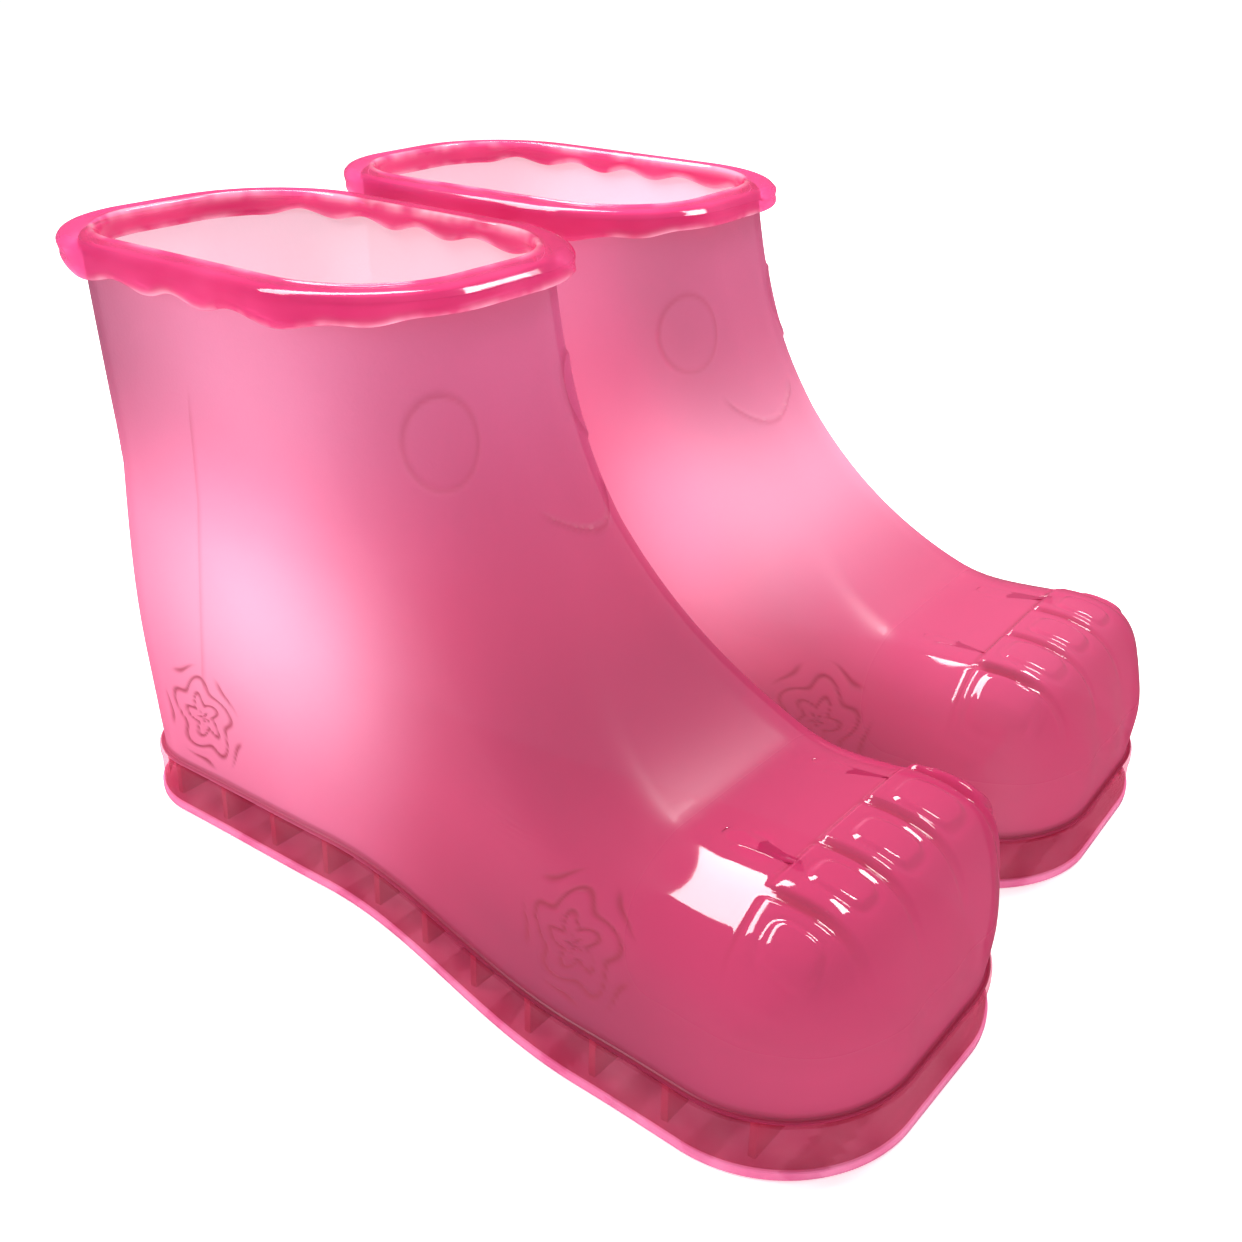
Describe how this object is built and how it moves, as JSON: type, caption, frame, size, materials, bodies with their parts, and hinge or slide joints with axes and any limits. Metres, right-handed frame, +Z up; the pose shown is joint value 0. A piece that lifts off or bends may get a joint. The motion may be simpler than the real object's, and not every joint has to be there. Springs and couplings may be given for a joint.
{
  "type": "pair of foot-bath boots",
  "caption": "Pair of translucent plastic boots for soaking feet: tall open shaft, rolled scalloped collar, toe-shaped front and a ribbed hollow sole.",
  "frame": {"origin": "centre of the pair's footprint, on the floor", "axes": "+X towards the toes, +Y towards the wearer's left, +Z up"},
  "size_m": [0.3298, 0.2768, 0.202],
  "materials": {
    "clear_pink_tub": "translucent pink, gloss",
    "hot_pink_collar": "soft glossy",
    "pink_footbed": "satin",
    "clear_sole": "clear, gloss",
    "pink_outsole": "clear, gloss"
  },
  "bodies": {
    "right_boot": {"right_upper_shell": "clear_pink_tub", "right_rim_collar": "hot_pink_collar", "right_footbed": "pink_footbed", "right_sole_frame": "clear_sole", "right_outsole": "pink_outsole"},
    "left_boot": {"left_upper_shell": "clear_pink_tub", "left_rim_collar": "hot_pink_collar", "left_footbed": "pink_footbed", "left_sole_frame": "clear_sole", "left_outsole": "pink_outsole"}
  },
  "joints": [
    {"name": "left_boot_set_aside", "type": "slide", "parent": "right_boot", "child": "left_boot", "axis": [0, 1, 0], "range_m": [0, 0.2]}
  ]
}
